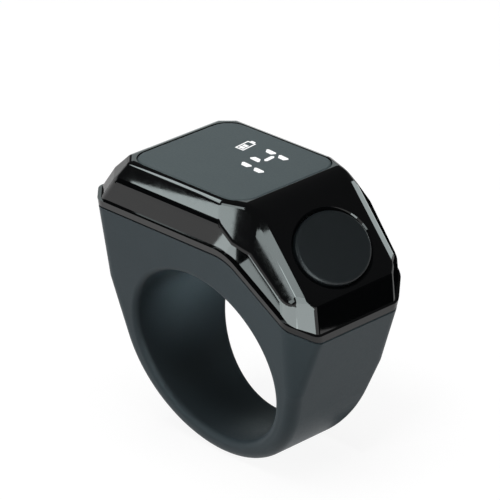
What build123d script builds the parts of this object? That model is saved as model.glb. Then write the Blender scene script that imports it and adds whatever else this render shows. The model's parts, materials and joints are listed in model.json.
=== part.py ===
from build123d import *
from math import asin, atan2, cos, hypot, radians, sin, sqrt, tan
import os

os.makedirs("parts", exist_ok=True)

# A digital tasbih counter worn as a finger ring, in millimetres.
# The origin is the centre of the finger bore, +Y runs along the finger,
# +X points to the sloped face with the button and +Z to the display.

# Driving dimensions of the band
bore_radius = 10.4
band_thickness = 2.25
band_lift = 0.5
band_low_half_width = 4.5
band_mid_half_width = 7.1
bore_edge_round = 0.7
band_edge_round = 1.4

# Driving dimensions of the head: heights from the bore's wall, overhangs from the band
rim_half_width = 9.9
rim_height = 4.08
head_back_overhang = 2.6
head_front_overhang = 3.0
front_drop = 7.8
part_slope_angle = 38.0
part_bend_radius = 5.0
corner_cut = 2.5
corner_round = 1.5
back_corner_fade = 13.0
front_corner_fade = 10.0
roof_thickness = 1.2

# Driving dimensions of the cover
cover_height = 5.75
cover_wall = 1.2
skirt_height = 0.95
skirt_step = 0.2
side_bevel_width = 1.15
side_bevel_drop = 2.15
side_wall_lean = 0.3
back_bevel_width = 2.25
back_wall_lean = 1.75
slope_angle = 50.0
slope_bend_setback = 8.4
slope_bend_radius = 3.1
slope_edge_inset = 2.11
slope_bevel_ratio = 1.4
bend_corner_back = 3.9
bend_corner_ahead = 0.6
front_bevel_width = 0.6
front_corner_inset = 1.2
slope_edge_chamfer = 0.6
crease_round = 2.5
front_corner_round = 2.0
cover_edge_round = 1.0

# Driving dimensions of the display
window_thickness = 0.9
window_rim = 0.55
window_front_rim = 0.1
window_corner_radius = 2.6
window_clearance = 0.05
window_edge_round = 0.3
gasket_thickness = 0.15
ledge_width = 1.0
ledge_thickness = 0.8
panel_length = 10.0
panel_width = 11.6
panel_thickness = 1.2
panel_offset = 0.6
panel_glass_thickness = 0.5
panel_glass_margin = 0.7

# Driving dimensions of the button and its switch
button_length = 8.2
button_side_rim = 1.5
button_rise = 0.3
button_edge_round = 0.3
button_clearance = 0.15
button_travel = 0.35
button_setback = 7.15
button_lip = 0.4
button_lip_thickness = 0.5
button_seal_thickness = 0.3
button_stem_radius = 1.3
button_stem_length = 0.6
button_hole_chamfer = 0.3
switch_size = 4.2
switch_cover_thickness = 0.15
switch_well_radius = 1.5
switch_floor = 0.2
plunger_radius = 0.9
plunger_lip = 0.3
plunger_lip_thickness = 0.25
plunger_clearance = 0.1
dome_rise = 0.35
dome_thickness = 0.1
dome_clearance = 0.05
terminal_length = 0.8
terminal_width = 0.6
terminal_thickness = 0.2
terminal_pitch = 2.6
button_board_length = 6.4
button_board_width = 9.6
button_board_thickness = 0.6
pocket_clearance = 0.4

# Driving dimensions of the electronics
frame_front_setback = 3.4
frame_back_setback = 3.2
frame_height = 4.3
frame_side_wall = 1.0
frame_back_wall = 1.7
frame_front_wall = 1.6
frame_clearance = 0.3
frame_corner_round = 1.2
battery_width = 12.0
battery_thickness = 3.2
battery_clearance = 0.4
battery_corner_round = 0.9
battery_edge_round = 0.5
battery_pad_thickness = 0.3
battery_pad_margin = 0.6
battery_board_length = 2.0
battery_board_width = 9.0
battery_board_thickness = 0.5
lead_radius = 0.22
lead_pitch = 5.0
lead_run = 4.8
lead_bend = 0.3
board_thickness = 0.8
board_clearance = 0.2
screw_radius = 0.45
screw_head_radius = 0.85
screw_head_height = 0.5
screw_clearance = 0.05
screw_bite = 1.1
screw_slot_width = 0.25
screw_slot_depth = 0.2
screw_half_spread = 5.6
flex_thickness = 0.12
flex_bend = 0.4
display_flex_width = 4.4
button_flex_width = 3.0
flex_overlap = 0.8
connector_setback = 2.5
connector_length = 1.4
connector_width = 5.2
connector_height = 0.9
controller_size = 5.0
controller_height = 0.9
controller_gap = 0.85
charger_size = 3.0
charger_height = 0.8
charger_setback = 4.3
charger_aside = 4.2
crystal_length = 3.2
crystal_width = 1.5
crystal_height = 0.7
crystal_ahead = 2.2
crystal_aside = 5.0
chip_length = 1.0
chip_width = 0.5
capacitor_height = 0.5
resistor_height = 0.35
chip_pitch = 1.4
chip_count = 4
chip_edge = 0.1
capacitor_aside = 3.2
resistor_aside = 5.0
contact_radius = 0.85
contact_pitch = 5.0
contact_recess = 0.15
contact_clearance = 0.05
contact_board_length = 3.0
contact_board_width = 8.2
contact_board_thickness = 0.5
contact_flex_width = 1.6
magnet_radius = 1.5
magnet_height = 1.2
magnet_clearance = 0.05
magnet_spread = 5.0
seal_thickness = 0.2
seal_inset = 0.2
seat_gap = 0.02

# Planes and places that follow from the driving dimensions
band_radius = bore_radius + band_thickness + band_lift
band_low_z = band_lift - band_radius
part_z = bore_radius + rim_height
top_z = part_z + cover_height
floor_z = bore_radius + roof_thickness
head_back = -(band_radius + head_back_overhang)
head_front = band_radius + head_front_overhang
front_part_z = part_z - front_drop
part_bend_x = head_front - front_drop / tan(radians(part_slope_angle))
block_half_width = rim_half_width + corner_cut
block_top = top_z + cover_height
slope_down = Vector(cos(radians(slope_angle)), 0, -sin(radians(slope_angle)))
slope_out = Vector(sin(radians(slope_angle)), 0, cos(radians(slope_angle)))
slope_bend_x = head_front - slope_bend_setback
slope_bend = Vector(slope_bend_x, 0, top_z)
button_centre = slope_bend + slope_down * button_setback
button_plane = Plane(origin=button_centre, x_dir=slope_down, z_dir=slope_out)


def circle_through(a, b, c):
    """Centre and radius of the circle through three points."""
    d = 2 * (a[0] * (b[1] - c[1]) + b[0] * (c[1] - a[1]) + c[0] * (a[1] - b[1]))
    aa = a[0] ** 2 + a[1] ** 2
    bb = b[0] ** 2 + b[1] ** 2
    cc = c[0] ** 2 + c[1] ** 2
    u = (aa * (b[1] - c[1]) + bb * (c[1] - a[1]) + cc * (a[1] - b[1])) / d
    v = (aa * (c[0] - b[0]) + bb * (a[0] - c[0]) + cc * (b[0] - a[0])) / d
    return u, v, hypot(a[0] - u, a[1] - v)


side_low = (band_low_half_width, band_low_z)
side_mid = (band_mid_half_width, 0.0)
side_rim = (rim_half_width, part_z)
flank_y, flank_z, flank_radius = circle_through(side_low, side_mid, side_rim)


def half_width(z):
    """Half of the body's width along the finger at height z."""
    reach = sqrt(flank_radius ** 2 - (z - flank_z) ** 2)
    return flank_y - reach if flank_y > 0 else flank_y + reach


def tangent_point(x, z, side):
    """Where the line from (x, z) touches the band's outer circle; side is -1 at the back."""
    rise = z - band_lift
    turn = atan2(rise, x) - side * (radians(90) - asin(band_radius / hypot(x, rise)))
    return band_radius * cos(turn), band_lift + band_radius * sin(turn)


back_touch = tangent_point(head_back, part_z, -1)
front_touch = tangent_point(head_front, front_part_z, 1)


def on_line(p, q, z):
    """The x at height z on the line through two (x, z) points."""
    return p[0] + (z - p[1]) * (q[0] - p[0]) / (q[1] - p[1])


def facet(point, normal, inset=0.0):
    """A cutting plane through a point, moved inward by inset."""
    out = Vector(*normal).normalized()
    return Plane(origin=Vector(*point) - out * inset, z_dir=out)


def both_sides(planes):
    """Each plane and its mirror image across the middle of the ring."""
    for plane in planes:
        yield plane
        yield Plane(
            origin=(plane.origin.X, -plane.origin.Y, plane.origin.Z),
            z_dir=(plane.z_dir.X, -plane.z_dir.Y, plane.z_dir.Z),
        )


def three_point_facet(a, b, c, inset):
    """The plane through three points, facing +X and +Y."""
    normal = (Vector(*b) - Vector(*a)).cross(Vector(*c) - Vector(*a))
    if normal.X + normal.Y < 0:
        normal = normal * -1
    return facet(a, normal, inset)


# Outline of the head: the corner planes fade out towards the band
back_fade_z = part_z - back_corner_fade
back_fade_x = on_line((head_back, part_z), back_touch, back_fade_z)
back_corner_sum = -head_back + rim_half_width - corner_cut
back_fade_rate = (back_corner_sum + back_fade_x - half_width(back_fade_z)) / back_corner_fade
front_fade_z = front_part_z - front_corner_fade
front_fade_x = on_line((head_front, front_part_z), front_touch, front_fade_z)
front_corner_sum = head_front + half_width(front_part_z) - corner_cut
front_fade_rate = (front_corner_sum - front_fade_x - half_width(front_fade_z)) / front_corner_fade


def head_corners(inset):
    """The cut corners that the body and the cover's skirt share."""
    back_point = (head_back, back_corner_sum + head_back, part_z)
    front_point = (head_front, front_corner_sum - head_front, front_part_z)
    return [
        facet(back_point, (-1, 1, -back_fade_rate), inset),
        facet(front_point, (1, 1, -front_fade_rate), inset),
    ]


def outline_block(inset):
    """The whole ring's outer form without its bore, up to a flat top above the cover."""
    with BuildPart() as block:
        with BuildSketch(Plane.XZ):
            with BuildLine():
                Line((head_back + inset, block_top), (head_back + inset, part_z))
                Line((head_back + inset, part_z), back_touch)
                ThreePointArc(back_touch, (0, band_low_z), front_touch)
                Line(front_touch, (head_front - inset, front_part_z))
                Line((head_front - inset, front_part_z), (head_front - inset, block_top))
                Line((head_front - inset, block_top), (head_back + inset, block_top))
            make_face()
        extrude(amount=block_half_width, both=True)
        with BuildSketch(Plane.YZ):
            with BuildLine():
                top_width = half_width(block_top) - inset
                mid_width = band_mid_half_width - inset
                low_width = band_low_half_width - inset
                ThreePointArc((low_width, band_low_z), (mid_width, 0), (top_width, block_top))
                Line((top_width, block_top), (-top_width, block_top))
                ThreePointArc((-top_width, block_top), (-mid_width, 0), (-low_width, band_low_z))
                Line((-low_width, band_low_z), (low_width, band_low_z))
            make_face()
        extrude(amount=head_front - head_back, both=True, mode=Mode.INTERSECT)
        side_edges = block.edges().filter_by(lambda edge: abs(edge.center().Y) > band_low_half_width / 2)
        fillet(side_edges.filter_by(lambda edge: edge.center().Z < block_top - seat_gap), band_edge_round)
        for plane in both_sides(head_corners(inset)):
            split(bisect_by=plane, keep=Keep.BOTTOM)
            cut_face = block.faces().sort_by(lambda face: (face.normal_at() - plane.z_dir).length)[0]
            cut_edges = cut_face.edges().filter_by(lambda edge: edge.center().Z < block_top - seat_gap)
            fillet(cut_edges, corner_round)
    return block.part


def part_slab(low, high):
    """The layer between two copies of the parting line, raised by low and by high."""
    back_end = head_back - block_half_width
    front_end = head_front + block_half_width
    front_end_z = front_part_z - block_half_width * tan(radians(part_slope_angle))
    with BuildPart() as slab:
        with BuildSketch(Plane.XZ) as layer:
            with BuildLine():
                Polyline(
                    (back_end, part_z + low),
                    (part_bend_x, part_z + low),
                    (front_end, front_end_z + low),
                    (front_end, front_end_z + high),
                    (part_bend_x, part_z + high),
                    (back_end, part_z + high),
                    close=True,
                )
            make_face()
            bends = layer.vertices().filter_by(lambda corner: abs(corner.X - part_bend_x) < seat_gap)
            fillet(bends, part_bend_radius)
        extrude(amount=block_half_width, both=True)
    return slab.part


# Places on the cover that follow from the driving dimensions
crease_z = top_z - side_bevel_drop
foot_z = part_z + skirt_height
back_foot_x = head_back + skirt_step
back_crease_x = back_foot_x + back_wall_lean
back_top_x = back_crease_x + back_bevel_width
side_foot_y = rim_half_width - skirt_step
side_crease_y = side_foot_y - side_wall_lean
side_top_y = side_crease_y - side_bevel_width
slope_edge_y = half_width((part_z + front_part_z) / 2) - slope_edge_inset
button_width = 2 * (slope_edge_y - button_side_rim - button_hole_chamfer - button_clearance)
front_crease_x = head_front - front_bevel_width
front_crease_z = top_z - (front_crease_x - slope_bend_x) * tan(radians(slope_angle))
front_foot_x = head_front - skirt_step
front_foot_y = front_corner_sum - head_front - skirt_step * (sqrt(2) - 1)
front_foot_z = front_part_z + skirt_height
cover_low = front_part_z - skirt_height


def cover_facets(inset):
    """The flat facets on one side of the cover, each moved inward by inset."""
    wall_rate = side_wall_lean / (crease_z - foot_z)
    top_sum = -back_top_x + side_top_y - window_corner_radius * (2 - sqrt(2))
    crease_sum = -back_crease_x + side_crease_y - corner_cut
    foot_sum = -back_foot_x + side_foot_y - corner_cut
    corner_bevel_rate = (crease_sum - top_sum) / side_bevel_drop
    corner_wall_rate = (foot_sum - crease_sum) / (crease_z - foot_z)
    part_out = Vector(sin(radians(part_slope_angle)), 0, cos(radians(part_slope_angle)))
    bend_foot = Vector(part_bend_x, side_foot_y, foot_z)
    front_side_z = front_part_z + corner_cut * sin(radians(part_slope_angle))
    front_side = Vector(
        head_front - corner_cut * cos(radians(part_slope_angle)),
        half_width(front_side_z) - skirt_step,
        front_side_z + skirt_height,
    )
    front_foot = Vector(front_foot_x, front_foot_y, front_foot_z)
    front_tip = Vector(front_crease_x, slope_edge_y - front_corner_inset, front_crease_z)
    side_normal = Vector(0, 1, side_bevel_width / side_bevel_drop).normalized()
    slope_normal = (Vector(0, 1, 0) + slope_out * slope_bevel_ratio).normalized()
    slope_edge = Vector(slope_bend_x, slope_edge_y, top_z)
    bend_start = Vector(slope_bend_x - bend_corner_back, side_top_y, top_z)
    bend_run = (slope_edge + slope_down * bend_corner_ahead - bend_start).normalized()
    bend_normal = side_normal + slope_normal
    bend_normal = bend_normal - bend_run * bend_normal.dot(bend_run)
    return [
        facet((0, side_top_y, top_z), side_normal, inset),
        facet((0, side_crease_y, crease_z), (0, 1, wall_rate), inset),
        facet(slope_edge, slope_normal, inset),
        facet(bend_start, bend_normal, inset),
        three_point_facet(bend_foot, front_side, bend_foot + part_out - Vector(0, wall_rate, 0), inset),
        facet((-top_sum / 2, top_sum / 2, top_z), (-1, 1, corner_bevel_rate), inset),
        facet((-crease_sum / 2, crease_sum / 2, crease_z), (-1, 1, corner_wall_rate), inset),
        three_point_facet(front_foot, front_side, front_tip, inset),
    ]


def cover_block(inset):
    """The faceted form of the cover as a solid, moved inward by inset on every face."""
    back_low = on_line((back_crease_x, crease_z), (back_foot_x, foot_z), cover_low)
    front_low = on_line((front_crease_x, front_crease_z), (front_foot_x, front_foot_z), cover_low)
    with BuildPart() as block:
        with BuildSketch(Plane.XZ) as side_view:
            with BuildLine():
                Polyline(
                    (back_low, cover_low),
                    (back_crease_x, crease_z),
                    (back_top_x, top_z),
                    (slope_bend_x, top_z),
                    (front_crease_x, front_crease_z),
                    (front_low, cover_low),
                    close=True,
                )
            make_face()
            bend_corner = side_view.vertices().sort_by_distance((slope_bend_x, top_z, 0))[0]
            fillet(bend_corner, slope_bend_radius)
            if inset:
                offset(amount=-inset, kind=Kind.INTERSECTION)
        extrude(amount=block_half_width, both=True)
        for plane in both_sides(cover_facets(inset)):
            split(bisect_by=plane, keep=Keep.BOTTOM)
    return block.part


# Places in the display and the head's inside
window_bottom_z = top_z - window_thickness
ledge_top_z = window_bottom_z - gasket_thickness
ledge_bottom_z = ledge_top_z - ledge_thickness
window_back = back_top_x + window_rim
window_front = slope_bend_x - slope_bend_radius * tan(radians(slope_angle / 2)) - window_front_rim
window_length = window_front - window_back
window_width = 2 * (side_top_y - window_rim)
window_x = (window_front + window_back) / 2
panel_x = window_x + panel_offset
panel_top_z = window_bottom_z - gasket_thickness
panel_bottom_z = panel_top_z - panel_thickness

# Levels of the button and switch below the sloped face
wall_level = -cover_wall
seal_level = wall_level - button_seal_thickness
lip_level = seal_level - button_lip_thickness
stem_level = lip_level - button_stem_length
plate_level = stem_level - button_travel
well_top_level = plate_level - switch_cover_thickness
plunger_level = well_top_level - plunger_lip_thickness
dome_top_level = plunger_level - button_travel - dome_clearance
well_level = dome_top_level - dome_rise
switch_level = well_level - switch_floor
pocket_level = switch_level - button_board_thickness

# Places of the battery, frame and board
frame_front = slope_bend_x - frame_front_setback
frame_back = head_back + frame_back_setback
bay_front = frame_front - frame_front_wall
bay_back = frame_back + frame_back_wall
battery_length = bay_front - bay_back - 2 * battery_clearance
frame_x = (frame_front + frame_back) / 2
frame_length = frame_front - frame_back
bay_x = (bay_front + bay_back) / 2
bay_width = battery_width + 2 * battery_clearance
frame_width = bay_width + 2 * frame_side_wall
frame_top_z = floor_z + frame_height
board_top_z = frame_top_z + board_thickness
battery_z = floor_z + battery_pad_thickness
battery_top_z = battery_z + battery_thickness
battery_back = bay_back + battery_clearance
battery_board_x = battery_back + battery_board_length / 2 + board_clearance
contact_board_z = floor_z - contact_board_thickness
screw_tip_z = floor_z - screw_bite
screw_places = [
    (x, y)
    for x in (frame_back + frame_back_wall / 2, frame_front - frame_front_wall / 2)
    for y in (-screw_half_spread, screw_half_spread)
]
magnet_places = [(-magnet_spread, 0), (magnet_spread, 0)]
contact_places = [(0, -contact_pitch / 2), (0, contact_pitch / 2)]
connector_x = frame_back + connector_setback
controller_x = connector_x + connector_length / 2 + controller_gap + controller_size / 2
crystal_x = connector_x + crystal_ahead
charger_x = frame_front - charger_setback

# Blocks and layers that several pieces are cut from
outline = outline_block(0)
seal_outline = outline_block(seal_inset)
cover_form = cover_block(0)
cover_core = cover_block(cover_wall)
cover_hollow = cover_core.split(Plane.XY.offset(ledge_bottom_z), keep=Keep.BOTTOM)
everything_above = block_top - front_part_z
above_parting = part_slab(0, everything_above)
below_cover = part_slab(seal_thickness - everything_above, seal_thickness)
skirt_layer = part_slab(seal_thickness, skirt_height)
seal_layer = part_slab(0, seal_thickness)

# Ring body: the band and the lower half of the head in one moulding
with BuildPart() as ring_body:
    add(outline)
    add(above_parting, mode=Mode.SUBTRACT)
    with BuildSketch(Plane.XZ):
        Circle(bore_radius)
    extrude(amount=block_half_width, both=True, mode=Mode.SUBTRACT)
    round_faces = ring_body.faces().filter_by(GeomType.CYLINDER)
    bore_faces = round_faces.filter_by(lambda face: abs(face.radius - bore_radius) < seat_gap)
    rim_edges = bore_faces.edges().filter_by(lambda edge: abs(edge.center().Y) > band_low_half_width / 2)
    fillet(rim_edges, bore_edge_round)
    with BuildSketch(Plane.XY.offset(floor_z)):
        with Locations((frame_x, 0)):
            RectangleRounded(
                frame_length + 2 * frame_clearance,
                frame_width + 2 * frame_clearance,
                frame_corner_round + frame_clearance,
            )
    extrude(amount=everything_above, mode=Mode.SUBTRACT)
    with BuildSketch(button_plane.offset(pocket_level)):
        Rectangle(button_board_length + 2 * pocket_clearance, button_board_width + 2 * pocket_clearance)
    extrude(amount=everything_above, mode=Mode.SUBTRACT)
    with BuildSketch(Plane.XY.offset(floor_z)):
        Rectangle(contact_board_length + 2 * board_clearance, contact_board_width + 2 * board_clearance)
    extrude(amount=-contact_board_thickness, mode=Mode.SUBTRACT)
    with BuildSketch(Plane.XY.offset(floor_z)):
        with Locations(*contact_places):
            Circle(contact_radius + contact_clearance)
    extrude(amount=-2 * roof_thickness, mode=Mode.SUBTRACT)
    with BuildSketch(Plane.XY.offset(floor_z)):
        with Locations(*magnet_places):
            Circle(magnet_radius + magnet_clearance)
    extrude(amount=-magnet_height, mode=Mode.SUBTRACT)
    with BuildSketch(Plane.XY.offset(floor_z)):
        with Locations(*screw_places):
            Circle(screw_radius + screw_clearance)
    extrude(amount=-screw_bite, mode=Mode.SUBTRACT)
ring_body.part.label = "ring_body"
export_step(ring_body.part, "parts/ring_body.step")

# Top cover: the faceted gloss shell over the display and the button, with a thin skirt
with BuildPart() as skirt:
    add(outline)
    add(skirt_layer, mode=Mode.INTERSECT)
with BuildPart() as top_cover:
    add(cover_form)
    straight_edges = top_cover.edges().filter_by(GeomType.LINE)
    slope_edges = straight_edges.filter_by(lambda edge: abs(abs(edge.center().Y) - slope_edge_y) < seat_gap)
    chamfer(slope_edges, slope_edge_chamfer)
    corner_edges = ShapeList()
    for plane in both_sides(cover_facets(0)[-1:]):
        upper_loop = top_cover.faces().filter_by(plane)[0].edges().sort_by(Axis.Z)[1:]
        corner_edges += upper_loop.sort_by(lambda edge: abs(edge.center().Y))[-3:]
    fillet(corner_edges, front_corner_round)
    crease_edges = top_cover.edges().filter_by(lambda edge: abs(edge.center().Z - crease_z) < seat_gap)
    fillet(crease_edges.filter_by(Axis.X), crease_round)
    upper_edges = top_cover.edges().filter_by(lambda edge: edge.center().Z > cover_low + seat_gap)
    fillet(upper_edges, cover_edge_round)
    add(outline, mode=Mode.INTERSECT)
    add(below_cover, mode=Mode.SUBTRACT)
    add(skirt.part)
    add(cover_hollow, mode=Mode.SUBTRACT)
    with BuildSketch(Plane.XY.offset(top_z)):
        with Locations((window_x, 0)):
            RectangleRounded(
                window_length + 2 * window_clearance,
                window_width + 2 * window_clearance,
                window_corner_radius + window_clearance,
            )
    extrude(amount=ledge_top_z - top_z, mode=Mode.SUBTRACT)
    with BuildSketch(Plane.XY.offset(top_z)):
        with Locations((window_x, 0)):
            RectangleRounded(
                window_length - 2 * ledge_width,
                window_width - 2 * ledge_width,
                window_corner_radius - ledge_width,
            )
    extrude(amount=ledge_bottom_z - top_z - seat_gap, mode=Mode.SUBTRACT)
    with BuildSketch(button_plane):
        Ellipse(button_length / 2 + button_clearance, button_width / 2 + button_clearance)
    extrude(amount=cover_wall + button_lip, both=True, mode=Mode.SUBTRACT)
    hole_edges = top_cover.edges().filter_by(GeomType.ELLIPSE)
    chamfer(hole_edges.sort_by(lambda edge: (edge.center() - button_centre).length)[0], button_hole_chamfer)
top_cover.part.label = "top_cover"
export_step(top_cover.part, "parts/top_cover.step")

# Parting seal: the dark bead that closes the joint between body and cover
with BuildPart() as parting_seal:
    add(seal_outline)
    add(seal_layer, mode=Mode.INTERSECT)
    add(cover_core, mode=Mode.SUBTRACT)
parting_seal.part.label = "parting_seal"
export_step(parting_seal.part, "parts/parting_seal.step")

# Display window: the flat tinted pane on top of the cover
with BuildPart() as display_window:
    with BuildSketch(Plane.XY.offset(window_bottom_z)):
        with Locations((window_x, 0)):
            RectangleRounded(window_length, window_width, window_corner_radius)
    extrude(amount=window_thickness)
    fillet(display_window.faces().sort_by(Axis.Z)[-1].edges(), window_edge_round)
display_window.part.label = "display_window"
export_step(display_window.part, "parts/display_window.step")

# Window gasket: the adhesive ring between the pane and its ledge
with BuildPart() as window_gasket:
    with BuildSketch(Plane.XY.offset(ledge_top_z)):
        with Locations((window_x, 0)):
            RectangleRounded(window_length, window_width, window_corner_radius)
            RectangleRounded(
                window_length - 2 * ledge_width,
                window_width - 2 * ledge_width,
                window_corner_radius - ledge_width,
                mode=Mode.SUBTRACT,
            )
    extrude(amount=gasket_thickness)
window_gasket.part.label = "window_gasket"
export_step(window_gasket.part, "parts/window_gasket.step")

# Display bond: the clear adhesive sheet between the pane and the panel
with BuildPart() as display_bond:
    with BuildSketch(Plane.XY.offset(panel_top_z)):
        with Locations((panel_x, 0)):
            Rectangle(panel_length - 2 * panel_glass_margin, panel_width - 2 * panel_glass_margin)
    extrude(amount=gasket_thickness)
display_bond.part.label = "display_bond"
export_step(display_bond.part, "parts/display_bond.step")

# Display panel: a glass back with a smaller cover glass on top
with BuildPart() as oled_panel:
    with BuildSketch(Plane.XY.offset(panel_bottom_z)):
        with Locations((panel_x, 0)):
            Rectangle(panel_length, panel_width)
    extrude(amount=panel_thickness - panel_glass_thickness)
    with BuildSketch(Plane.XY.offset(panel_top_z - panel_glass_thickness)):
        with Locations((panel_x, 0)):
            Rectangle(panel_length - 2 * panel_glass_margin, panel_width - 2 * panel_glass_margin)
    extrude(amount=panel_glass_thickness)
oled_panel.part.label = "oled_panel"
export_step(oled_panel.part, "parts/oled_panel.step")

# Display flex: the ribbon from the panel's back edge round to its connector
panel_back = panel_x - panel_length / 2
flex_turn_x = connector_x - connector_length / 2 - 2 * flex_bend
flex_high_z = panel_bottom_z + flex_thickness
flex_low_z = board_top_z + connector_height / 2
with BuildPart() as display_flex:
    with BuildSketch(Plane.XZ):
        with BuildLine():
            FilletPolyline(
                (panel_back, flex_high_z),
                (flex_turn_x, flex_high_z),
                (flex_turn_x, flex_low_z),
                (connector_x - connector_length / 2, flex_low_z),
                radius=flex_bend,
            )
        trace(line_width=flex_thickness)
    extrude(amount=display_flex_width / 2, both=True)
display_flex.part.label = "display_flex"
export_step(display_flex.part, "parts/display_flex.step")

# Button: an oval cap with a retaining lip and a short stem
with BuildPart() as button_cap:
    with BuildSketch(button_plane.offset(seal_level)):
        Ellipse(button_length / 2, button_width / 2)
    extrude(amount=button_rise - seal_level)
    fillet(button_cap.edges().sort_by(Axis(button_centre, slope_out))[-1], button_edge_round)
    with BuildSketch(button_plane.offset(lip_level)):
        Ellipse(button_length / 2 + button_lip, button_width / 2 + button_lip)
    extrude(amount=button_lip_thickness)
    with BuildSketch(button_plane.offset(stem_level)):
        Circle(button_stem_radius)
    extrude(amount=button_stem_length)
button_cap.part.label = "button_cap"
export_step(button_cap.part, "parts/button_cap.step")

# Button seal: the soft ring on the lip that closes against the cover's inner face
with BuildPart() as button_seal:
    with BuildSketch(button_plane.offset(seal_level)):
        Ellipse(button_length / 2 + button_lip, button_width / 2 + button_lip)
        Ellipse(button_length / 2 + seat_gap, button_width / 2 + seat_gap, mode=Mode.SUBTRACT)
    extrude(amount=button_seal_thickness)
button_seal.part.label = "button_seal"
export_step(button_seal.part, "parts/button_seal.step")

# Switch body: the square housing with a round well
with BuildPart() as switch_body:
    with BuildSketch(button_plane.offset(switch_level)):
        Rectangle(switch_size, switch_size)
    extrude(amount=well_top_level - switch_level)
    with BuildSketch(button_plane.offset(well_level)):
        Circle(switch_well_radius)
    extrude(amount=well_top_level - well_level, mode=Mode.SUBTRACT)
switch_body.part.label = "switch_body"
export_step(switch_body.part, "parts/switch_body.step")

# Switch cover: the metal plate that holds the plunger in
with BuildPart() as switch_cover:
    with BuildSketch(button_plane.offset(well_top_level)):
        Rectangle(switch_size, switch_size)
        Circle(plunger_radius + plunger_clearance, mode=Mode.SUBTRACT)
    extrude(amount=switch_cover_thickness)
switch_cover.part.label = "switch_cover"
export_step(switch_cover.part, "parts/switch_cover.step")

# Switch plunger: pressed down by the button's stem
with BuildPart() as switch_plunger:
    with BuildSketch(button_plane.offset(well_top_level)):
        Circle(plunger_radius)
    extrude(amount=stem_level - well_top_level)
    with BuildSketch(button_plane.offset(plunger_level)):
        Circle(plunger_radius + plunger_lip)
    extrude(amount=plunger_lip_thickness)
switch_plunger.part.label = "switch_plunger"
export_step(switch_plunger.part, "parts/switch_plunger.step")

# Switch dome: the snap dome at the bottom of the well
dome_base_radius = switch_well_radius - plunger_clearance
dome_section = Plane(origin=button_plane.offset(well_level).origin, x_dir=slope_down, z_dir=(0, -1, 0))
dome_axis = Axis(dome_section.origin, slope_out)
dome_bow = (dome_base_radius ** 2 + dome_rise ** 2) / (2 * dome_rise)
with BuildPart() as switch_dome:
    with BuildSketch(dome_section):
        with Locations((0, dome_rise - dome_bow)):
            Circle(dome_bow)
            Circle(dome_bow - dome_thickness, mode=Mode.SUBTRACT)
        with Locations((dome_base_radius / 2, dome_rise / 2)):
            Rectangle(dome_base_radius, dome_rise, mode=Mode.INTERSECT)
    revolve(axis=dome_axis)
switch_dome.part.label = "switch_dome"
export_step(switch_dome.part, "parts/switch_dome.step")

# Switch terminals: four feet beside the housing on the small board
terminal_reach = switch_size / 2 + terminal_length / 2
with BuildPart() as switch_terminals:
    with BuildSketch(button_plane.offset(switch_level)):
        with GridLocations(terminal_pitch, 2 * terminal_reach, 2, 2):
            Rectangle(terminal_width, terminal_length)
    extrude(amount=terminal_thickness)
switch_terminals.part.label = "switch_terminals"
export_step(switch_terminals.part, "parts/switch_terminals.step")

# Button board: the small board on the sloped seat in the body
with BuildPart() as button_board:
    with BuildSketch(button_plane.offset(pocket_level)):
        Rectangle(button_board_length, button_board_width)
    extrude(amount=button_board_thickness)
button_board.part.label = "button_board"
export_step(button_board.part, "parts/button_board.step")

# Button flex: the ribbon from the small board up to the main board
flex_on_slope = button_plane.offset(switch_level + flex_thickness / 2).origin
flex_start = flex_on_slope - slope_down * (button_board_length / 2 - flex_overlap)
flex_land_z = board_top_z + flex_thickness / 2
flex_corner = flex_start - slope_down * ((flex_land_z - flex_start.Z) / -slope_down.Z)
with BuildPart() as button_flex:
    with BuildSketch(Plane.XZ):
        with BuildLine():
            FilletPolyline(
                (flex_start.X, flex_start.Z),
                (flex_corner.X, flex_land_z),
                (frame_front - flex_overlap, flex_land_z),
                radius=flex_bend,
            )
        trace(line_width=flex_thickness)
    extrude(amount=button_flex_width / 2, both=True)
button_flex.part.label = "button_flex"
export_step(button_flex.part, "parts/button_flex.step")

# Inner frame: carries the main board over the battery bay
with BuildPart() as inner_frame:
    with BuildSketch(Plane.XY.offset(floor_z)):
        with Locations((frame_x, 0)):
            RectangleRounded(frame_length, frame_width, frame_corner_round)
        with Locations((bay_x, 0)):
            RectangleRounded(bay_front - bay_back, bay_width, battery_corner_round, mode=Mode.SUBTRACT)
        with Locations(*screw_places):
            Circle(screw_radius + screw_clearance, mode=Mode.SUBTRACT)
    extrude(amount=frame_height)
inner_frame.part.label = "inner_frame"
export_step(inner_frame.part, "parts/inner_frame.step")

# Main board: the circuit board on top of the frame
with BuildPart() as main_board:
    with BuildSketch(Plane.XY.offset(frame_top_z)):
        with Locations((frame_x, 0)):
            RectangleRounded(frame_length, frame_width, frame_corner_round)
        with Locations(*screw_places):
            Circle(screw_radius + screw_clearance, mode=Mode.SUBTRACT)
    extrude(amount=board_thickness)
main_board.part.label = "main_board"
export_step(main_board.part, "parts/main_board.step")

# Frame screws: four slotted screws through board and frame into the body
with BuildPart() as frame_screws:
    with BuildSketch(Plane.XY.offset(screw_tip_z)):
        with Locations(*screw_places):
            Circle(screw_radius)
    extrude(amount=board_top_z - screw_tip_z)
    with BuildSketch(Plane.XY.offset(board_top_z)):
        with Locations(*screw_places):
            Circle(screw_head_radius)
    extrude(amount=screw_head_height)
    with BuildSketch(Plane.XY.offset(board_top_z + screw_head_height)):
        with Locations(*screw_places):
            Rectangle(2 * screw_head_radius, screw_slot_width)
    extrude(amount=-screw_slot_depth, mode=Mode.SUBTRACT)
frame_screws.part.label = "frame_screws"
export_step(frame_screws.part, "parts/frame_screws.step")

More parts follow.
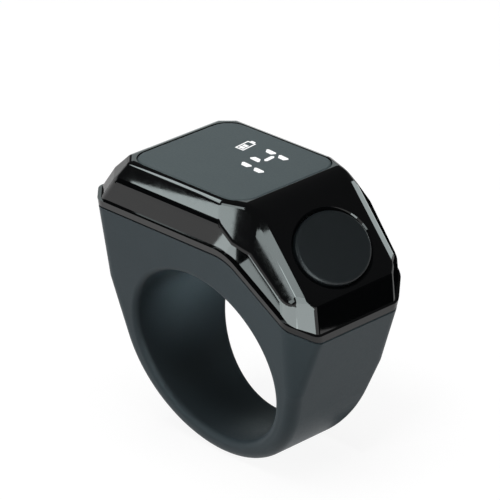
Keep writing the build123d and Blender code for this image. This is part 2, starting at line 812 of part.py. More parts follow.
# Battery: a flat pouch cell in the bay
with BuildPart() as battery_cell:
    with BuildSketch(Plane.XY.offset(battery_z)):
        with Locations((bay_x, 0)):
            RectangleRounded(battery_length, battery_width, battery_corner_round)
    extrude(amount=battery_thickness)
    fillet(battery_cell.faces().sort_by(Axis.Z)[-1].edges(), battery_edge_round)
battery_cell.part.label = "battery_cell"
export_step(battery_cell.part, "parts/battery_cell.step")

# Battery pads: two foam strips with a channel between them for the charging ribbon
pad_channel = contact_flex_width + 2 * board_clearance
with BuildPart() as battery_pads:
    with BuildSketch(Plane.XY.offset(floor_z)):
        with Locations((bay_x, 0)):
            Rectangle(battery_length - 2 * battery_pad_margin, battery_width - 2 * battery_pad_margin)
        Rectangle(pad_channel, battery_width, mode=Mode.SUBTRACT)
    extrude(amount=battery_pad_thickness)
battery_pads.part.label = "battery_pads"
export_step(battery_pads.part, "parts/battery_pads.step")

# Battery board: the protection strip folded over the cell's back end
with BuildPart() as battery_board:
    with BuildSketch(Plane.XY.offset(battery_top_z)):
        with Locations((battery_board_x, 0)):
            Rectangle(battery_board_length, battery_board_width)
    extrude(amount=battery_board_thickness)
battery_board.part.label = "battery_board"
export_step(battery_board.part, "parts/battery_board.step")

# Battery leads: two wires from the protection strip up to the main board
lead_start = battery_board_x + battery_board_length / 2
lead_z = battery_top_z + lead_radius + seat_gap
with BuildPart() as battery_leads:
    for lead_y in (-lead_pitch / 2, lead_pitch / 2):
        with BuildLine(Plane.XZ.offset(-lead_y)) as lead_path:
            FilletPolyline(
                (lead_start, lead_z),
                (lead_start + lead_run, lead_z),
                (lead_start + lead_run, frame_top_z),
                radius=lead_bend,
            )
        with BuildSketch(Plane(origin=(lead_start, lead_y, lead_z), z_dir=(1, 0, 0))):
            Circle(lead_radius)
        sweep(path=lead_path.line)
battery_leads.part.label = "battery_leads"
export_step(battery_leads.part, "parts/battery_leads.step")

# Controller chip on the main board
with BuildPart() as controller_chip:
    with BuildSketch(Plane.XY.offset(board_top_z)):
        with Locations((controller_x, 0)):
            Rectangle(controller_size, controller_size)
    extrude(amount=controller_height)
    chamfer(controller_chip.faces().sort_by(Axis.Z)[-1].edges(), chip_edge)
controller_chip.part.label = "controller_chip"
export_step(controller_chip.part, "parts/controller_chip.step")

# Charger chip on the main board
with BuildPart() as charger_chip:
    with BuildSketch(Plane.XY.offset(board_top_z)):
        with Locations((charger_x, -charger_aside)):
            Rectangle(charger_size, charger_size)
    extrude(amount=charger_height)
    chamfer(charger_chip.faces().sort_by(Axis.Z)[-1].edges(), chip_edge)
charger_chip.part.label = "charger_chip"
export_step(charger_chip.part, "parts/charger_chip.step")

# Clock crystal on the main board
with BuildPart() as clock_crystal:
    with BuildSketch(Plane.XY.offset(board_top_z)):
        with Locations((crystal_x, crystal_aside)):
            Rectangle(crystal_length, crystal_width)
    extrude(amount=crystal_height)
    chamfer(clock_crystal.faces().sort_by(Axis.Z)[-1].edges(), chip_edge)
clock_crystal.part.label = "clock_crystal"
export_step(clock_crystal.part, "parts/clock_crystal.step")

# Chip capacitors and resistors in two rows on the main board
with BuildPart() as chip_capacitors:
    with BuildSketch(Plane.XY.offset(board_top_z)):
        with Locations((charger_x, capacitor_aside)):
            with GridLocations(chip_pitch, 0, chip_count, 1):
                Rectangle(chip_length, chip_width)
    extrude(amount=capacitor_height)
chip_capacitors.part.label = "chip_capacitors"
export_step(chip_capacitors.part, "parts/chip_capacitors.step")

with BuildPart() as chip_resistors:
    with BuildSketch(Plane.XY.offset(board_top_z)):
        with Locations((charger_x, resistor_aside)):
            with GridLocations(chip_pitch, 0, chip_count, 1):
                Rectangle(chip_length, chip_width)
    extrude(amount=resistor_height)
chip_resistors.part.label = "chip_resistors"
export_step(chip_resistors.part, "parts/chip_resistors.step")

# Display connector on the main board
with BuildPart() as display_connector:
    with BuildSketch(Plane.XY.offset(board_top_z)):
        with Locations((connector_x, 0)):
            Rectangle(connector_length, connector_width)
    extrude(amount=connector_height)
display_connector.part.label = "display_connector"
export_step(display_connector.part, "parts/display_connector.step")

# Charging contacts: two pins in the roof of the bore
with BuildPart() as charge_contacts:
    with BuildSketch(Plane.XY.offset(contact_board_z)):
        with Locations(*contact_places):
            Circle(contact_radius)
    extrude(amount=bore_radius + contact_recess - contact_board_z)
charge_contacts.part.label = "charge_contacts"
export_step(charge_contacts.part, "parts/charge_contacts.step")

# Contact board: carries the charging pins under the battery
with BuildPart() as contact_board:
    with BuildSketch(Plane.XY.offset(contact_board_z)):
        Rectangle(contact_board_length, contact_board_width)
    extrude(amount=contact_board_thickness)
contact_board.part.label = "contact_board"
export_step(contact_board.part, "parts/contact_board.step")

# Charging ribbon: from the contact board along the floor and up beside the battery
ribbon_z = floor_z + flex_thickness / 2
ribbon_y = battery_width / 2 + battery_clearance / 2
with BuildPart() as charge_ribbon:
    with BuildSketch(Plane.YZ):
        with BuildLine():
            FilletPolyline(
                (0, ribbon_z),
                (ribbon_y, ribbon_z),
                (ribbon_y, frame_top_z),
                radius=flex_thickness,
            )
        trace(line_width=flex_thickness)
    extrude(amount=contact_flex_width / 2, both=True)
charge_ribbon.part.label = "charge_ribbon"
export_step(charge_ribbon.part, "parts/charge_ribbon.step")

# Charging magnets: two discs in pockets of the floor
with BuildPart() as charge_magnets:
    with BuildSketch(Plane.XY.offset(floor_z)):
        with Locations(*magnet_places):
            Circle(magnet_radius)
    extrude(amount=-magnet_height)
charge_magnets.part.label = "charge_magnets"
export_step(charge_magnets.part, "parts/charge_magnets.step")
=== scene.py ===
# %% [markdown]
# # A digital tally counter worn as a finger ring
# The ring counts presses: a thumb pushes the oval button on the sloped face and the number on
# top goes up by one. The CAD model already holds every solid at its true size, so this lesson
# adds what CAD leaves out: the finishes, the lit display, the light and the camera.
# Everything is in metres, and the helper value mm keeps the sizes readable.

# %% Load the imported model
import json
import math

import bmesh
import bpy
from mathutils import Matrix, Vector


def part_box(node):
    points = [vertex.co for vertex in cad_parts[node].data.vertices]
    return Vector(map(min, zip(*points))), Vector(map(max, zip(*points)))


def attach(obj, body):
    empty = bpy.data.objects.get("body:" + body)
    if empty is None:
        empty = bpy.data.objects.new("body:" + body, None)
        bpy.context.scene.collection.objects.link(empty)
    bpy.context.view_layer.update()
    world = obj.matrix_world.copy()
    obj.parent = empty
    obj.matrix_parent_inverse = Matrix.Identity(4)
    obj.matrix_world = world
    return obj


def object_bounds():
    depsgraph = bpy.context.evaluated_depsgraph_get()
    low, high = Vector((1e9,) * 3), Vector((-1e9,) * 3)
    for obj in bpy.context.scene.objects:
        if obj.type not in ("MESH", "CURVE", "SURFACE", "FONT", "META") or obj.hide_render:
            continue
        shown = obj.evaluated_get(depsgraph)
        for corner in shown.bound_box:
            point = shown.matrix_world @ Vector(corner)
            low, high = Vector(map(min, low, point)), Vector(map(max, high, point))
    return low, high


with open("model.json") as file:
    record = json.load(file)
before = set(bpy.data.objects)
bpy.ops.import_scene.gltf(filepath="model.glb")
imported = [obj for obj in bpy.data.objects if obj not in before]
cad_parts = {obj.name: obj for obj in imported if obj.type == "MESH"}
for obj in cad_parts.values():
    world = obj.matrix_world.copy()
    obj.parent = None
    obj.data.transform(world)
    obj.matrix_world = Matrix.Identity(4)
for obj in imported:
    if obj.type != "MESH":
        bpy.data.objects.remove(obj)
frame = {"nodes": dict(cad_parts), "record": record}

cad_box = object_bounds()
mm = 0.001

# %% [markdown]
# ## Colours
# A colour picker shows sRGB values, while a shader works with linear light. One function turns
# the usual hex notation into linear numbers, so every colour below can be read off a swatch.

# %% Hex to linear colour
def linear(hex_colour):
    channels = [int(hex_colour[i:i + 2], 16) / 255 for i in (1, 3, 5)]
    return [c / 12.92 if c <= 0.04045 else ((c + 0.055) / 1.055) ** 2.4 for c in channels] + [1.0]


print("mid grey in linear light:", round(linear("#808080")[0], 3))

# %% [markdown]
# ## Nodes
# A material is a small network. Writing it by hand needs three things over and over: add a node,
# set its values and link its inputs. One function does all three. An input takes either a plain
# value or another node's output, which is then linked.

# %% Add a node with its settings and links
def add_node(tree, kind, inputs=None, **settings):
    node = tree.nodes.new(kind)
    for name, value in settings.items():
        setattr(node, name, value)
    for name, value in (inputs or {}).items():
        if isinstance(value, bpy.types.NodeSocket):
            tree.links.new(value, node.inputs[name])
        else:
            node.inputs[name].default_value = value
    return node


def new_material(name):
    material = bpy.data.materials.new(name)
    material.use_nodes = True
    material.node_tree.nodes.clear()
    return material, material.node_tree


print("materials before the first finish:", len(bpy.data.materials))

# %% [markdown]
# ## How one finish is put together
# Every solid finish here is the same idea: a colour that wanders slightly between two close
# shades, a gloss that wanders with it, and a fine bump for the grain of the surface. Real
# mouldings, castings and laminates are never quite even, and that is what makes them look real.
# The grain is given in millimetres. Object coordinates are in metres, so a pattern whose
# features are g metres wide needs a scale of 1 / g. Extra words, such as IOR, go straight to the
# sockets of the shader.

# %% Build a finish from two shades, a gloss range and a grain
noise_low = 0.3
noise_high = 0.7


def finish(name, shades, gloss, grain_mm, bump_mm=0.0, patch_mm=4.0, **shader):
    material, tree = new_material(name)
    place = add_node(tree, "ShaderNodeTexCoord").outputs["Object"]
    patches = add_node(tree, "ShaderNodeTexNoise", {
        "Vector": place, "Scale": 1 / (patch_mm * mm), "Detail": 3.0}).outputs["Fac"]
    grain = add_node(tree, "ShaderNodeTexNoise", {
        "Vector": place, "Scale": 1 / (grain_mm * mm), "Detail": 2.0}).outputs["Fac"]
    # A Mix node holds sockets for every kind of value: 6 and 7 are its colours, output 2 the result.
    colour = add_node(tree, "ShaderNodeMix", {
        "Factor": patches, 6: linear(shades[0]), 7: linear(shades[1])}, data_type="RGBA")
    roughness = add_node(tree, "ShaderNodeMapRange", {
        "Value": grain, "From Min": noise_low, "From Max": noise_high,
        "To Min": gloss[0], "To Max": gloss[1]})
    inputs = {"Base Color": colour.outputs[2], "Roughness": roughness.outputs["Result"]}
    if bump_mm:
        inputs["Normal"] = add_node(tree, "ShaderNodeBump", {
            "Height": grain, "Strength": 1.0, "Distance": bump_mm * mm}).outputs["Normal"]
    inputs.update({socket.replace("_", " "): value for socket, value in shader.items()})
    surface = add_node(tree, "ShaderNodeBsdfPrincipled", inputs)
    add_node(tree, "ShaderNodeOutputMaterial", {"Surface": surface.outputs["BSDF"]})
    return material


finishes = {}
print("finishes so far:", len(finishes))

# %% [markdown]
# ## The band
# The band and the lower half of the head are one moulding in grey ABS. The mould was sparked to
# an even, very fine texture, which turns a hard highlight into a broad satin one. The texture
# also traps light in its pits, so the mirror part is kept far below that of smooth ABS. The true
# grain is near 0.05 mm and would vanish in the render, so it is drawn at 0.25 mm.

# %% Satin grey ABS for the band
finishes["body_plastic"] = finish(
    "moulded_grey_abs", ("#3a4449", "#404a4f"), (0.42, 0.50), grain_mm=0.25, bump_mm=0.002, IOR=1.53,
    Specular_IOR_Level=0.12)
print("band finish:", finishes["body_plastic"].name)

# %% [markdown]
# ## The cover
# The faceted cover is black ABS from a polished mould, the finish called piano black. It has
# almost no colour of its own: what the eye sees are small lamps and the pale floor mirrored in
# its flats and bevels. A low, nearly even roughness keeps the edges of those mirror images crisp.

# %% Polished black ABS for the cover
finishes["cover_plastic"] = finish(
    "polished_black_abs", ("#070809", "#0a0b0c"), (0.02, 0.04), grain_mm=0.6, IOR=1.53,
    Specular_IOR_Level=0.4)
print("cover finish:", finishes["cover_plastic"].name)

# %% [markdown]
# ## The window
# The pane over the display is polycarbonate with a grey tint and a matt hard coat, so that the
# number reads in sunlight. The coat scatters light in a wide lobe and the tint hides the panel
# below until it lights up. The particles in the coat are too fine to show and are drawn at 0.2 mm.

# %% Matt tinted polycarbonate for the window
finishes["window_glass"] = finish(
    "matt_tinted_polycarbonate", ("#414d50", "#455154"), (0.48, 0.56), grain_mm=0.2, bump_mm=0.001,
    IOR=1.58)
print("window finish:", finishes["window_glass"].name)

# %% [markdown]
# ## The button
# The oval button is black ABS with a satin face, a little lighter than the cover because its
# fine texture scatters some light towards every side.

# %% Satin black ABS for the button
finishes["button_plastic"] = finish(
    "satin_black_abs", ("#14191b", "#181d20"), (0.38, 0.46), grain_mm=0.25, bump_mm=0.002, IOR=1.53,
    Specular_IOR_Level=0.3)
print("button finish:", finishes["button_plastic"].name)

# %% [markdown]
# ## Seals
# Silicone rubber seals the joint round the head, the button and the window. It is matt and dark,
# with a faint bloom, so the joint reads as a thin black line.

# %% Dark silicone rubber
finishes["seal_rubber"] = finish(
    "dark_silicone_rubber", ("#0d0e0f", "#131415"), (0.65, 0.75), grain_mm=0.3, bump_mm=0.002, IOR=1.41)
print("seal finish:", finishes["seal_rubber"].name)

# %% [markdown]
# ## Parts inside, in plastic and rubber
# The inside is closed up, so these finishes are only seen when the counter is taken apart. Each
# still follows its own material: glass-filled nylon is dull, polyimide film is amber, moulding
# resin for chips is a dry black and foam is soft and rough.

# %% Plastics, films, resin and foam
inside_plastics = {
    "connector_plastic": ("moulded_liquid_crystal_polymer", ("#d8cfb8", "#e2d9c4"), (0.45, 0.55)),
    "switch_plastic": ("glass_filled_nylon", ("#26282a", "#2c2e30"), (0.50, 0.60)),
    "plunger_plastic": ("moulded_acetal", ("#8a2f2a", "#93352f"), (0.35, 0.45)),
    "flex_film": ("polyimide_film", ("#9a6a22", "#a8752a"), (0.30, 0.40)),
    "board_laminate": ("glass_epoxy_laminate", ("#1d4a35", "#22543d"), (0.35, 0.50)),
    "chip_resin": ("epoxy_moulding_resin", ("#1a1b1c", "#202122"), (0.55, 0.65)),
    "capacitor_ceramic": ("fired_ceramic", ("#9a7a58", "#a88663"), (0.45, 0.55)),
    "pad_foam": ("closed_cell_foam", ("#3b3d40", "#45474a"), (0.85, 0.95)),
    "lead_sheath": ("pvc_sheath", ("#a3221f", "#ad2a26"), (0.40, 0.50)),
}
for slot, (name, shades, gloss) in inside_plastics.items():
    finishes[slot] = finish(name, shades, gloss, grain_mm=0.2, bump_mm=0.003, patch_mm=1.5)
print("inside plastics:", len(inside_plastics))

# %% [markdown]
# ## Parts inside, in metal
# A metal mirrors its surroundings in its own colour. Rolled and plated parts differ mostly in
# hue and in how far the surface blurs that mirror image.

# %% Metals
inside_metals = {
    "spring_steel": ("rolled_spring_steel", ("#b4b6b8", "#bfc1c3"), (0.25, 0.35)),
    "tinned_brass": ("tinned_brass", ("#c4c3bd", "#cfcec8"), (0.30, 0.40)),
    "screw_steel": ("blackened_steel", ("#3a3b3d", "#444547"), (0.35, 0.45)),
    "crystal_can": ("drawn_nickel_silver", ("#b9b5a8", "#c4c0b3"), (0.20, 0.30)),
    "cell_foil": ("aluminium_laminate_foil", ("#b7bbbe", "#c2c6c9"), (0.30, 0.42)),
    "contact_gold": ("plated_gold", ("#d9a94a", "#e0b255"), (0.22, 0.30)),
    "magnet_nickel": ("plated_nickel", ("#b3aea4", "#bdb8ae"), (0.15, 0.25)),
}
for slot, (name, shades, gloss) in inside_metals.items():
    finishes[slot] = finish(name, shades, gloss, grain_mm=0.3, patch_mm=1.5, Metallic=1.0)
print("inside metals:", len(inside_metals))

# %% [markdown]
# ## Parts inside, in glass and clear adhesive
# The panel is a thin glass sandwich, black when it is off. The adhesive that bonds it to the
# window is clear: it lets light through and bends it about as much as the glass does.

# %% Panel glass and clear adhesive
finishes["panel_glass"] = finish(
    "display_panel_glass", ("#0a0b0d", "#0e0f12"), (0.05, 0.09), grain_mm=0.5, IOR=1.52)
finishes["clear_adhesive"] = finish(
    "clear_acrylic_adhesive", ("#f2f3f3", "#fbfbfb"), (0.04, 0.10), grain_mm=0.5, IOR=1.47,
    Transmission_Weight=1.0)
print("finishes in all:", len(finishes))

# %% [markdown]
# ## Give every piece its finish
# The record lists which material slot each CAD node uses, so one loop dresses them all. Nothing
# is moved: only the materials change.

# %% Dress the CAD nodes
node_slots = {part["node"]: part["material_slot"] for part in frame["record"]["subparts"]}
for node, piece in frame["nodes"].items():
    piece.data.materials.clear()
    piece.data.materials.append(finishes[node_slots[node]])
print("dressed:", len(node_slots), "pieces in", len(set(node_slots.values())), "finishes")

# %% [markdown]
# ## The lit display
# The number and the battery sign glow through the pane. Each segment of the number is a plate
# with slanted ends, as on any seven-segment display. They could be an image texture, but plates
# keep their edges at every size. They lie on the pane, a few hundredths of a millimetre proud,
# with the top of the number towards the back of the head (-X) and reading along +Y.

# %% Segment plates
lit_depth = 0.05 * mm
lit_rise = 0.03 * mm
display_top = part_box("display_window")[1].z


def add_plate(mesh, outline):
    low = [mesh.verts.new((x, y, display_top + lit_rise - lit_depth)) for x, y in outline]
    high = [mesh.verts.new((x, y, display_top + lit_rise)) for x, y in outline]
    mesh.faces.new(high)
    mesh.faces.new(list(reversed(low)))
    for i in range(len(outline)):
        j = (i + 1) % len(outline)
        mesh.faces.new((low[i], low[j], high[j], high[i]))


def finish_lit_piece(name, mesh, material):
    bmesh.ops.recalc_face_normals(mesh, faces=mesh.faces)
    data = bpy.data.meshes.new(name)
    mesh.to_mesh(data)
    mesh.free()
    piece = bpy.data.objects.new(name, data)
    bpy.context.scene.collection.objects.link(piece)
    piece.data.materials.append(material)
    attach(piece, "ring")
    print(name, "faces:", len(data.polygons))


print("plates end", round((display_top + lit_rise) / mm, 2), "mm up")

# %% [markdown]
# ## The light of the segments
# An organic display glows by itself, in tiny dots. The dots are far too fine to see here, so the
# light only varies a little, by a twentieth, over about half a millimetre.

# %% Glowing segments
glow_change = 0.05


def glowing(name, colour, spot_mm):
    material, tree = new_material(name)
    place = add_node(tree, "ShaderNodeTexCoord").outputs["Object"]
    spots = add_node(tree, "ShaderNodeTexNoise", {"Vector": place, "Scale": 1 / (spot_mm * mm)})
    strength = add_node(tree, "ShaderNodeMapRange", {
        "Value": spots.outputs["Fac"], "To Min": 1 - glow_change, "To Max": 1 + glow_change})
    surface = add_node(tree, "ShaderNodeBsdfPrincipled", {
        "Base Color": linear("#202325"), "Roughness": 0.5, "Emission Color": linear(colour),
        "Emission Strength": strength.outputs["Result"]})
    add_node(tree, "ShaderNodeOutputMaterial", {"Surface": surface.outputs["BSDF"]})
    return material


lit_white = glowing("lit_organic_display", "#ffffff", spot_mm=0.5)
print("display finish:", lit_white.name)

# %% [markdown]
# ## The number
# A one uses the two right-hand segments. A four adds the upper left one and the bar across the
# middle. Outer segments are long on their outer side and short on their inner side. A segment is
# first drawn round the middle of its digit. It is then moved onto the pane, where the digits lean
# to the right as in italics and the row runs a little askew.

# %% Number fourteen
digit_height = 4.06 * mm
digit_width = 3.15 * mm
segment_length = 1.55 * mm
segment_width = 0.70 * mm
bar_length = 1.65 * mm
bar_width = 0.52 * mm
row_askew = -0.10
digit_lean = -0.085
one_middle = Vector((0.46 * mm, -1.27 * mm))
four_middle = Vector((-0.06 * mm, 2.97 * mm))


def on_pane(middle, outline, lean=0.0):
    return [(middle.x + x + row_askew * y, middle.y + y + lean * x) for x, y in outline]


def upright(row, side):
    centre = row * digit_height / 4
    outer = side * digit_width / 2
    inner = outer - side * segment_width
    half = segment_length / 2
    slant = segment_width / 2
    blunt = segment_width / 4
    return [(centre - half, outer - side * blunt), (centre - half + blunt, outer),
            (centre + half - blunt, outer), (centre + half, outer - side * blunt),
            (centre + half - slant, inner), (centre - half + slant, inner)]


def cross_bar():
    half_length = bar_length / 2
    half_width = bar_width / 2
    straight = half_length - half_width
    return [(0, -half_length), (half_width, -straight), (half_width, straight),
            (0, half_length), (-half_width, straight), (-half_width, -straight)]


right_side = [upright(row=-1, side=1), upright(row=1, side=1)]
number_mesh = bmesh.new()
for middle, outlines in (
        (one_middle, right_side), (four_middle, right_side + [upright(row=-1, side=-1), cross_bar()])):
    for outline in outlines:
        add_plate(number_mesh, on_pane(middle, outline, digit_lean))
finish_lit_piece("lit_number", number_mesh, lit_white)

# %% [markdown]
# ## The battery sign
# A small outlined box with a stub at one end and cells inside that show the charge. The box is
# four thin strips, and each cell and the stub are one plate each. Two of three cells are lit.

# %% Battery outline, charge and stub
sign_middle = Vector((-4.32 * mm, 3.63 * mm))
sign_length = 2.2 * mm
sign_width = 1.25 * mm
sign_line = 0.15 * mm
cells = 3
cells_lit = 2
stub_length = 0.3 * mm
stub_width = 0.6 * mm


def rectangle(x0, x1, y0, y1):
    return [(x0, y0), (x1, y0), (x1, y1), (x0, y1)]


half_length = sign_length / 2
half_width = sign_width / 2
inner_width = half_width - sign_line
cell_width = half_width - 2 * sign_line
cell_pitch = (sign_length - 3 * sign_line) / cells
sign_plates = [
    rectangle(-half_width, -inner_width, -half_length, half_length),
    rectangle(inner_width, half_width, -half_length, half_length),
    rectangle(-inner_width, inner_width, -half_length, -half_length + sign_line),
    rectangle(-inner_width, inner_width, half_length - sign_line, half_length),
    rectangle(-stub_width / 2, stub_width / 2, half_length, half_length + stub_length)]
for cell in range(cells_lit):
    cell_start = -half_length + 2 * sign_line + cell * cell_pitch
    cell_end = cell_start + cell_pitch - sign_line
    sign_plates.append(rectangle(-cell_width, cell_width, cell_start, cell_end))

sign_mesh = bmesh.new()
for outline in sign_plates:
    add_plate(sign_mesh, on_pane(sign_middle, outline))
finish_lit_piece("battery_sign", sign_mesh, lit_white)

# %% [markdown]
# ## Camera
# The photograph looks down on the counter from in front of its near side, from well back with a
# long lens, so parallel edges stay nearly parallel. The camera is placed by its turn round the
# counter, its height angle and its distance from the point in the middle of the frame. It comes
# before the light, because gloss plastic is lit by what it mirrors towards the camera. The view
# transform is the standard one, so a colour renders about as it is written.

# %% Camera
view_turn = math.radians(45.0)
view_height = math.radians(25.0)
view_distance = 392.47 * mm
view_lens = 259.2
view_sensor = 36.0
frame_right = -0.009 * mm
frame_up = 9.454 * mm

right = Vector((math.cos(view_turn), math.sin(view_turn), 0))
level = math.cos(view_height)
back = Vector((math.sin(view_turn) * level, -math.cos(view_turn) * level, math.sin(view_height)))
up = back.cross(right)
camera_data = bpy.data.cameras.new("camera")
camera_data.lens = view_lens
camera_data.sensor_width = view_sensor
camera_data.clip_start = 0.01
camera = bpy.data.objects.new("camera", camera_data)
camera.matrix_world = Matrix((right, up, back)).transposed().to_4x4()
camera.location = right * frame_right + up * frame_up + back * view_distance
bpy.context.scene.collection.objects.link(camera)
bpy.context.scene.camera = camera
bpy.context.scene.view_settings.view_transform = "Standard"
print("camera at", [round(c / mm, 1) for c in camera.location], "mm")

# %% [markdown]
# ## Floor
# The counter stands on a wide pale floor. The camera looks down on it, so the floor is the whole
# background. Part of its white comes from a plain glow and the rest from the lamps, which is why
# the shadow under the band stays. The card itself is grey, so it throws little light up at the
# dark plastic.

# %% Pale floor
floor_half = 3.0
floor_glow = 0.90
floor_z = cad_box[0][2]


def add_sheet(name, half_width, half_height, material):
    mesh = bmesh.new()
    bmesh.ops.create_grid(mesh, x_segments=6, y_segments=6, size=1.0,
                          matrix=Matrix.Diagonal((half_width, half_height, 1, 1)))
    data = bpy.data.meshes.new(name)
    mesh.to_mesh(data)
    mesh.free()
    sheet = bpy.data.objects.new(name, data)
    sheet.data.materials.append(material)
    bpy.context.scene.collection.objects.link(sheet)
    return sheet


floor_card, floor_tree = new_material("matt_glowing_card")
rays = add_node(floor_tree, "ShaderNodeLightPath").outputs
seen_or_mirrored = add_node(floor_tree, "ShaderNodeMath", {
    0: rays["Is Camera Ray"], 1: rays["Is Glossy Ray"]}, operation="ADD").outputs[0]
shown = add_node(floor_tree, "ShaderNodeMath", {
    0: seen_or_mirrored, 1: rays["Is Transmission Ray"]}, operation="ADD", use_clamp=True).outputs[0]
glow_strength = add_node(floor_tree, "ShaderNodeMath", {
    0: shown, 1: floor_glow}, operation="MULTIPLY").outputs[0]
card = add_node(floor_tree, "ShaderNodeBsdfPrincipled", {
    "Base Color": linear("#707070"), "Roughness": 0.9, "Specular IOR Level": 0.0,
    "Emission Color": linear("#ffffff"), "Emission Strength": glow_strength})
add_node(floor_tree, "ShaderNodeOutputMaterial", {"Surface": card.outputs["BSDF"]})
floor = add_sheet("floor", floor_half, floor_half, floor_card)
floor.location.z = floor_z
print("floor at", round(floor_z / mm, 2), "mm")

# %% [markdown]
# ## The room
# The studio has pale walls near the floor and a dark ceiling above, so the steep facets mirror
# dark and stay black, while what looks at the floor shines. The light that the room gives to
# matt surfaces is an even grey.

# %% Room light
room_light = 0.13
wall_light = 1.0
ceiling_light = 0.06
pale_below = 0.10
dark_above = 0.22

world = bpy.data.worlds.new("studio_room")
bpy.context.scene.world = world
world.use_nodes = True
world.node_tree.nodes.clear()
room = world.node_tree
height = add_node(room, "ShaderNodeSeparateXYZ", {
    0: add_node(room, "ShaderNodeTexCoord").outputs["Generated"]}).outputs["Z"]
wall = add_node(room, "ShaderNodeMapRange", {
    "Value": height, "From Min": pale_below, "From Max": dark_above,
    "To Min": wall_light, "To Max": ceiling_light}, interpolation_type="SMOOTHSTEP").outputs["Result"]
room_rays = add_node(room, "ShaderNodeLightPath").outputs
strength = add_node(room, "ShaderNodeMix", {
    0: room_rays["Is Diffuse Ray"], 2: wall, 3: room_light}).outputs[0]
background = add_node(room, "ShaderNodeBackground", {
    "Color": linear("#ffffff"), "Strength": strength})
add_node(room, "ShaderNodeOutputWorld", {"Surface": background.outputs["Background"]})
print("room light:", room_light)

# %% [markdown]
# ## Softboxes
# A softbox is a flat lamp behind a white cloth. A big one overhead lights the whole counter, and
# two at the sides fill in. They are kept out of the reflections, so that they don't grey the black
# facets. A lamp or a card is stood up by the direction it lies in, seen from the counter, by its
# distance, and by small shifts to the side and upwards. It always faces the counter.

# %% Softboxes
aim_point = Vector((0, 0, 8 * mm))
softbox_distance = 0.5


def stand(thing, direction, distance, shift_mm=(0, 0), roll=0):
    away = Vector(direction).normalized()
    side = Vector((0, 0, 1)).cross(away).normalized()
    rise = away.cross(side)
    thing.matrix_world = (Matrix((side, rise, away)).transposed().to_4x4()
                          @ Matrix.Rotation(math.radians(roll), 4, "Z"))
    thing.location = aim_point + away * distance + (side * shift_mm[0] + rise * shift_mm[1]) * mm


def add_lamp(name, width, height, brightness):
    lamp = bpy.data.lights.new(name, "AREA")
    lamp.shape = "RECTANGLE"
    lamp.size = width
    lamp.size_y = height
    # A flat lamp of this power in watts has the wanted brightness over its whole face.
    lamp.energy = brightness * math.pi * width * height
    box = bpy.data.objects.new(name, lamp)
    box.visible_camera = False
    bpy.context.scene.collection.objects.link(box)
    print(name, "power", round(lamp.energy, 3), "W")
    return box


for name, width, brightness, direction in (
        ("softbox_overhead", 0.40, 3.2, (0.0, -0.15, 1.0)),
        ("softbox_side", 0.30, 5.4, (-0.75, -0.95, 0.05)),
        ("softbox_front", 0.30, 2.1, (1.0, 0.15, 0.30))):
    softbox = add_lamp(name, width, width, brightness)
    softbox.visible_glossy = False
    stand(softbox, direction, softbox_distance)

# %% [markdown]
# ## A beam into the bore
# The softboxes leave the bore evenly dim, and then its roundness is lost. A narrow beam from low
# in front reaches the upper part of its wall and leaves the lower part in shade. A softbox would
# light the whole wall, so this lamp's spread is cut down to a cone, as a grid on a lamp does.

# %% Bore beam
beam_width = 5 * mm
beam_cone = math.radians(36)
beam = add_lamp("beam_bore", beam_width, beam_width, 4.8)
beam.visible_glossy = False
beam.data.spread = beam_cone
stand(beam, (0.524, -0.726, -0.444), 20.7 * mm, (-5.0, -7.0))
print("beam from", [round(c / mm) for c in beam.location], "mm")

# %% [markdown]
# ## Strip lamps for the edges
# The cover's bright lines are lamps mirrored in its bevels and rounded edges. A flat facet shows a
# lamp at its true size, so a line of a millimetre needs a small lamp close by. Each strip is given
# by the facet it is mirrored in: the view direction is reflected in the facet's normal, and the
# lamp stands out along that ray. The strips only draw lines: they give matt surfaces no light.
# The first ones draw the line below the pane's near edge and a glint in the bevel under it.

# %% Strips for the top bevel and the side bevel
strip_distance = 120 * mm
strip_white = linear("#f1ffff")[:3]
top_bevel = (0, -0.34, 0.94)
side_bevel = (0, -0.88, 0.47)


def mirrored(normal):
    facing = Vector(normal).normalized()
    return facing * (2 * facing.dot(back)) - back


def strip(name, normal, size_mm, brightness, shift_mm, roll=0, distance=strip_distance):
    lamp = add_lamp(name, size_mm[0] * mm, size_mm[1] * mm, brightness)
    lamp.data.color = strip_white
    lamp.visible_diffuse = False
    stand(lamp, mirrored(normal), distance, shift_mm, roll)


strip("strip_top_edge", top_bevel, (55, 11), 8.1, (57, 17.5), roll=-2)
strip("strip_top_join", top_bevel, (80, 8), 7.8, (85, 26))
strip("strip_side_bevel", side_bevel, (13.8, 8.1), 7.8, (3.5, 4.9), roll=23)

# %% [markdown]
# ## Strips for the bend
# Where the long side turns down towards the button, two small facets catch the most light. They
# meet at a bend, so one lamp is mirrored in each. The lamps are trimmed so that they only just
# touch in the mirror image, because where two overlap the plastic shows a double-bright line.

# %% Strips for the bend
bend_bevel = (0.165, -0.848, 0.504)
bend_wall = (0.133, -0.981, 0.138)
strip("strip_bend", bend_bevel, (68.6, 14), 7.8, (1.2, 8.9), roll=27.7)
strip("strip_bend_top", bend_bevel, (44, 12), 5.5, (17, 50), roll=119)
strip("strip_bend_wall", bend_wall, (22.8, 10), 6.0, (1, 0), roll=-27, distance=70 * mm)

# %% [markdown]
# ## Strips for the slope
# The sloped face itself stays black, so that the button stands out. Only its two side edges and
# the bevel next to the near one get a line.

# %% Strips for the slope
slope_edge = (0.70, -0.42, 0.58)
slope_bevel = (0.62, -0.58, 0.52)
far_edge = (0.73, 0.31, 0.61)
strip("strip_slope_edge", slope_edge, (66, 10.6), 6.0, (-2, -3.2), roll=8)
strip("strip_slope_bevel", slope_bevel, (11.5, 15), 6.0, (8.5, -2.7), roll=28)
strip("strip_far_edge", far_edge, (16, 30), 3.9, (0.7, -4.3), roll=49)

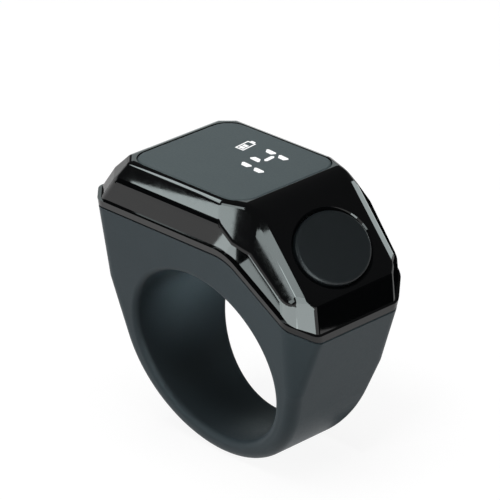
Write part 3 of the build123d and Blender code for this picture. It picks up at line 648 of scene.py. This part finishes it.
# %% [markdown]
# ## Strips for the front corner
# The low wall runs into the cut corner at the front, and the light runs on round it. These lamps
# stand closer, because a near lamp keeps to one facet.

# %% Strips for the low wall and the front corner
low_wall = (0.16, -0.99, 0.02)
front_corner = (0.86, -0.45, 0.22)
corner_turn = (0.55, -0.83, 0.06)
corner_top = (0.708, -0.632, 0.316)
strip("strip_low_wall", low_wall, (12, 3), 5.0, (14.3, 2.5), roll=-55, distance=45 * mm)
strip("strip_front_corner", front_corner, (11, 72), 7.6, (-2, 16.5), roll=-10, distance=58 * mm)
strip("strip_corner_turn", corner_turn, (77.4, 16), 7.2, (12.7, 4.5), distance=50 * mm)
strip("strip_corner_top", corner_top, (9, 21), 4.5, (3.5, 10.5), distance=60 * mm)

# %% [markdown]
# ## A pale lamp behind
# Round the pane runs a flat rim of the black cover. A broad, pale lamp behind the counter is
# mirrored in it and in the pane, so the rim reads as grey as the pane and their joint nearly
# disappears.

# %% Lamp behind the head
pane_rim = (-0.05, 0, 1)
strip("strip_behind", pane_rim, (110, 130), 1.0, (10, -25), distance=260 * mm)

# %% [markdown]
# ## Flags
# A flag is a card of black felt that keeps a reflection dark. One stands before the sloped end,
# where the floor would turn the black plastic grey, and the others do the same for the near side,
# the low wall and the far edge. A lit white card evens out the back corner. The camera doesn't
# see these cards, they cast no shadow, and matt surfaces don't see them either. Only the flag low
# behind the bore also dims matt surfaces: it hides the bright floor from the bore's lower wall.

# %% Felt flags and a white card
felt = finish("black_wool_felt", ("#020202", "#040404"), (0.95, 1.0), grain_mm=2.0,
              Specular_IOR_Level=0.0)
paper = finish("lit_white_card", ("#dedede", "#e6e6e6"), (0.90, 0.95), grain_mm=2.0,
               Specular_IOR_Level=0.0, Emission_Color=linear("#ffffff"), Emission_Strength=0.3)


def flag(name, direction, distance, size_mm, shift_mm=(0, 0), material=felt, dims_matt=False):
    card = add_sheet(name, size_mm[0] / 2 * mm, size_mm[1] / 2 * mm, material)
    stand(card, direction, distance, shift_mm)
    card.visible_camera = False
    card.visible_diffuse = dims_matt
    card.visible_shadow = False
    print(name, "at", [round(c / mm) for c in card.location], "mm")


flag("flag_front", (0.82, 0.57, 0.0), 78 * mm, (52, 36), (0, -2))
flag("flag_side", (-0.66, -0.75, 0.10), 122 * mm, (60, 30), (0, 6))
flag("flag_wall", mirrored(low_wall), 50 * mm, (19.4, 12), (20.3, 5))
flag("flag_far", (0.0, 0.99, -0.14), 48.5 * mm, (36, 28))
flag("card_back", (-0.97, 0.23, 0.04), 70 * mm, (44, 30), material=paper)
flag("flag_bore", (0.0, 1.0, -0.95), 19 * mm, (22, 22), dims_matt=True)
